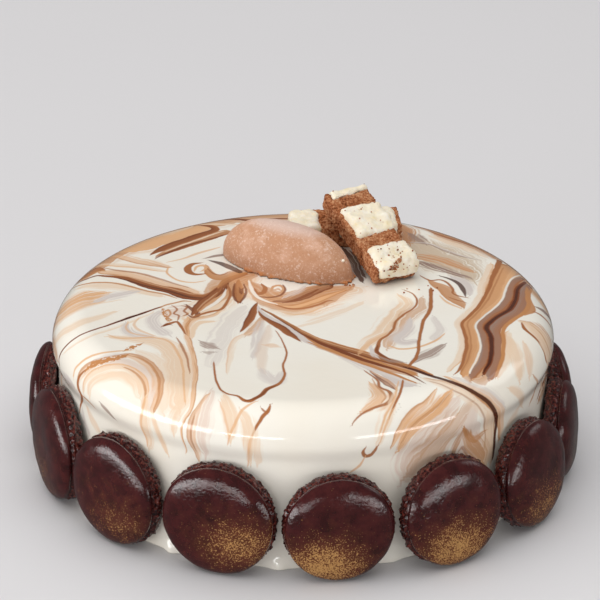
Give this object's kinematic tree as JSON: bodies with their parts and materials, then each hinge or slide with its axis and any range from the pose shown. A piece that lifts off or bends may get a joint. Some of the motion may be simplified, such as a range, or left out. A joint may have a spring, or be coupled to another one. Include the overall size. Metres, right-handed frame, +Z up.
{
  "type": "glazed chocolate cake with macarons",
  "caption": "Round mirror-glazed cake marbled in ivory and chocolate, ringed by upright half macarons, with a mousse quenelle and layered sponge and cream bars on top.",
  "frame": {"origin": "centre of the cake's flat underside", "axes": "+Z up through the cake's axis, -Y towards the viewer, +X to the viewer's right"},
  "size_m": [0.1989, 0.1999, 0.0814],
  "materials": {
    "glaze": "poured mirror glaze, ivory marbled with caramel and chocolate, wet gloss",
    "macaron": "baked cocoa macaron shell, satin dome dusted with gold, crumbly foot",
    "mousse": "moulded milk chocolate mousse, matt with a frosty bloom",
    "sponge": "baked cocoa sponge, open crumb, matt",
    "cream": "whipped milk cream, soft satin"
  },
  "bodies": {
    "root": {"cake": "glaze", "macaron_01": "macaron", "macaron_02": "macaron", "macaron_03": "macaron", "macaron_04": "macaron", "macaron_05": "macaron", "macaron_06": "macaron", "macaron_07": "macaron", "macaron_08": "macaron", "macaron_09": "macaron", "macaron_10": "macaron", "macaron_11": "macaron", "macaron_12": "macaron", "macaron_13": "macaron", "macaron_14": "macaron", "macaron_15": "macaron", "quenelle": "mousse", "front_bar_sponge": "sponge", "rear_bar_sponge": "sponge", "front_bar_cream_foot": "cream", "front_bar_cream_middle": "cream", "front_bar_cream_cap": "cream", "rear_bar_cream_left": "cream", "rear_bar_cream_middle": "cream", "rear_bar_cream_right": "cream"}
  },
  "joints": []
}
